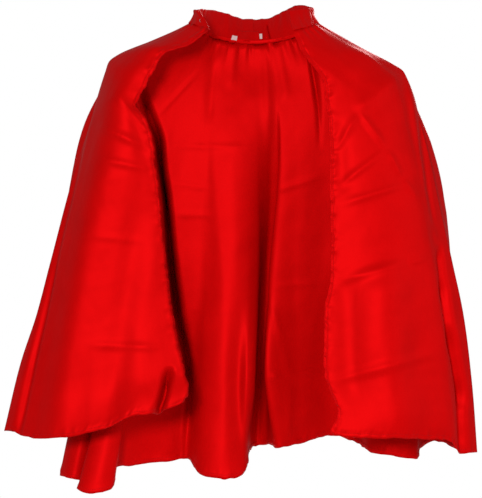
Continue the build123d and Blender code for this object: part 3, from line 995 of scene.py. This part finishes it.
class CAPE_OT_neckline_trim(bpy.types.Operator):
    """Bind the raw edges of the neckline and sew in the blank label"""

    bl_idname = "cape.neckline_trim"
    bl_label = "Neckline binding and label"

    def execute(self, context):
        angle = np.linspace(4, 176, 210)
        turn = np.linspace(0, 1, 19)[:, None]
        depth = np.where(turn < 0.5, turn, 1 - turn) * 11.5
        gap = 0.9 * np.tanh((0.5 - turn) * 9.0)
        ring, out = neckline(angle, -0.6), neckline(angle, 1.0) - neckline(angle)
        grid = ring[None] - out[None] * gap[..., None] - depth[..., None] * [0, 0, 1] + [0, 0, 3.6]
        run = run_across(grid)
        ripple = cloud(run, run * 0.0, 4.5, 50, 91) + 0.6 * cloud(run, run * 0.0, 9.0, 50, 92)
        ripple = ripple * depth / 6.5
        grid = grid - out[None] * (0.5 * ripple)[..., None]
        grid[..., 2] += 0.8 * ripple
        piece = cloth_piece("neckline_binding_strip", grid, 0.5, finish("red satin lining"))
        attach(piece, "root")
        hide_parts("neckline_binding")
        declare_cloth(grid)
        for name, body, node, look, first, last, foot, top, stand, ply in LABEL_PIECES:
            tall = collar_grid(first, last, 40, 60, foot)
            rows = np.linspace(0, (top - foot) / (1 - foot) * 59, 12)
            low = np.floor(rows).astype(int)
            grid = mix(tall[low], tall[low + 1], (rows - low)[:, None, None])
            grid = raise_cloth(grid, np.full(grid.shape[:2], stand))
            piece = cloth_piece(name, grid, ply, finish(look))
            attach(piece, body)
            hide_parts(node)
        return {"FINISHED"}


class CAPE_OT_sewing(bpy.types.Operator):
    """Stitch the hems and the turned front edges"""

    bl_idname = "cape.sewing"
    bl_label = "Stitching"

    def execute(self, context):
        sizes = context.scene.cape_sizes
        inner, cloth = sizes.hem / MM - 1.0, sizes.cloth / MM
        piece = stitches("back_hem_stitches", hem_lines(grids()["back"], inner, cloth), sizes)
        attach(piece, "root")
        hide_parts("back_hem_stitching")
        for side, name in SIDES:
            grid = grids()[name]
            piece = stitches(f"{name}_hem_stitches", hem_lines(grid, inner, cloth), sizes)
            blend_front(piece, side, name, "thread", f"{name}_front_hem_stitching")
            piece = stitches(f"{name}_edge_stitches",
                             edge_lines(grid, side, (1.6, inner), cloth), sizes)
            blend_front(piece, side, name, "thread", f"{name}_front_edge_stitching",
                        f"{name}_shoulder_edge_stitching")
        return {"FINISHED"}


def fastener_line(hooked):
    """Middle line of the bent wire, in millimetres: along the collar, up it, and away from it."""
    ring = np.radians(np.linspace(-150, 180, 30))
    low = np.stack([-3.6 - 2.1 * np.cos(ring), -2.5 + 2.1 * np.sin(ring), 0.0 * ring], axis=1)
    high = (low * [1, -1, 1])[::-1]
    if hooked:
        nose = [(0.5, -0.6, 0.2), (3.6, -0.6, 0.1), (5.2, -0.5, 0.5), (5.6, -0.45, 1.5),
                (4.6, -0.4, 2.3), (2.2, -0.4, 2.2), (1.6, 0.0, 2.2), (2.2, 0.4, 2.2),
                (4.6, 0.4, 2.3), (5.6, 0.45, 1.5), (5.2, 0.5, 0.5), (3.6, 0.6, 0.1), (0.5, 0.6, 0.2)]
    else:
        bow = np.radians(np.linspace(-110, 110, 15))
        nose = np.stack([2.0 + 3.4 * np.cos(bow), 2.7 * np.sin(bow), 0.15 + 0.0 * bow], axis=1)
    return even_line(np.concatenate([low, np.array(nose, float), high]), 170, power=0.8)


class CAPE_OT_hook_and_eye(bpy.types.Operator):
    """Bend the wire hook and the wire eye and sew them to the collar's two ends"""

    bl_idname = "cape.hook_and_eye"
    bl_label = "Hook and eye"

    def execute(self, context):
        wire = context.scene.cape_sizes.wire / MM
        for node, body, end, tip in (("wire_eye", "right_collar_end", RIGHT_END_ANGLE, 1),
                                     ("wire_hook", "left_collar_end", LEFT_END_ANGLE, -1)):
            low, high = (np.array(corner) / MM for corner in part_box(node))
            out = neckline(np.array([end, end - 6.0 * tip]))
            ahead = (out[0] - out[1]) * [1, 1, 0] / np.linalg.norm((out[0] - out[1])[:2])
            up = np.array([0.0, 0.30, 0.95])
            inward = np.cross(ahead, up) * -tip
            middle = (low + high) / 2 + inward * 0.6 - ahead * 4.0
            points, faces = tube(fastener_line(node == "wire_hook"), wire / 2)
            points = middle + points @ np.stack([ahead, up, inward])
            piece = add_piece(f"{node}_bent", points, faces, finish("nickel wire"))
            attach(piece, body)
            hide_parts(node)
        return {"FINISHED"}


class CAPE_OT_stage(bpy.types.Operator):
    """Lay the floor and set the light and the camera"""

    bl_idname = "cape.stage"
    bl_label = "Floor, light and camera"

    def execute(self, context):
        scene = context.scene
        floor = add_piece("floor", [(-750, -750, -800), (750, -750, -800), (750, 750, -800),
                                    (-750, 750, -800)], [[0, 1, 2, 3]],
                          finish("pale floor"), smooth=False)
        world = bpy.data.worlds.new("soft white room")
        scene.world = world
        world.use_nodes = True
        nodes, links = world.node_tree.nodes, world.node_tree.links
        room = nodes["Background"]
        room.inputs["Color"].default_value = (1, 1, 1, 1)
        seen = nodes.new("ShaderNodeLightPath")
        strength = nodes.new("ShaderNodeMapRange")
        strength.inputs["To Min"].default_value = 0.32
        strength.inputs["To Max"].default_value = 1.0
        links.new(seen.outputs["Is Camera Ray"], strength.inputs["Value"])
        links.new(strength.outputs["Result"], room.inputs["Strength"])
        for name, spot, aim, size, power in (
                ("key light", (-0.66, -4.1, 0.22), (0.0, 0.0, -0.35), 0.6, 100.0),
                ("back light", (1.1, 3.2, 1.0), (0.0, 0.0, -0.35), 1.4, 80.0),
                ("side light", (1.9, -1.4, 0.2), (0.1, 0.0, -0.35), 1.2, 12.0)):
            data = bpy.data.lights.new(name, "AREA")
            data.size, data.energy = size, power
            light = bpy.data.objects.new(name, data)
            light.location = spot
            light.rotation_mode = "QUATERNION"
            light.rotation_quaternion = (Vector(aim) - Vector(spot)).to_track_quat("-Z", "Y")
            scene.collection.objects.link(light)
        data = bpy.data.cameras.new("camera")
        data.lens, data.sensor_width = 167.9, 36.0
        camera = bpy.data.objects.new("camera", data)
        camera.location = (-0.020, -3.6, -0.327)
        camera.rotation_euler = (math.radians(90), 0, 0)
        scene.collection.objects.link(camera)
        scene.camera = camera
        scene.view_settings.view_transform = "Standard"
        return {"FINISHED"}


class CAPE_PT_panel(bpy.types.Panel):
    """Sizes, colours and pieces of the cape"""

    bl_label = "Cape"
    bl_idname = "CAPE_PT_panel"
    bl_space_type = "VIEW_3D"
    bl_region_type = "UI"
    bl_category = "Cape"

    def draw(self, context):
        for group in (context.scene.cape_sizes, context.scene.cape_colours):
            for name in group.__annotations__:
                self.layout.prop(group, name)
        for step in STEPS:
            self.layout.operator(step.bl_idname)


STEPS = (CAPE_OT_back_panel, CAPE_OT_front_panels, CAPE_OT_collar, CAPE_OT_neckline_trim,
         CAPE_OT_sewing, CAPE_OT_hook_and_eye, CAPE_OT_stage)
CLASSES = (CapeSizes, CapeColours) + STEPS + (CAPE_PT_panel,)


def register():
    for made in CLASSES:
        bpy.utils.register_class(made)
    bpy.types.Scene.cape_sizes = bpy.props.PointerProperty(type=CapeSizes)
    bpy.types.Scene.cape_colours = bpy.props.PointerProperty(type=CapeColours)


def unregister():
    del bpy.types.Scene.cape_colours
    del bpy.types.Scene.cape_sizes
    for made in reversed(CLASSES):
        bpy.utils.unregister_class(made)


def main():
    """Registers the add-on and builds every piece in order."""
    register()
    for step in STEPS:
        family, name = step.bl_idname.split(".")
        getattr(getattr(bpy.ops, family), name)()


if __name__ == "__main__":
    main()
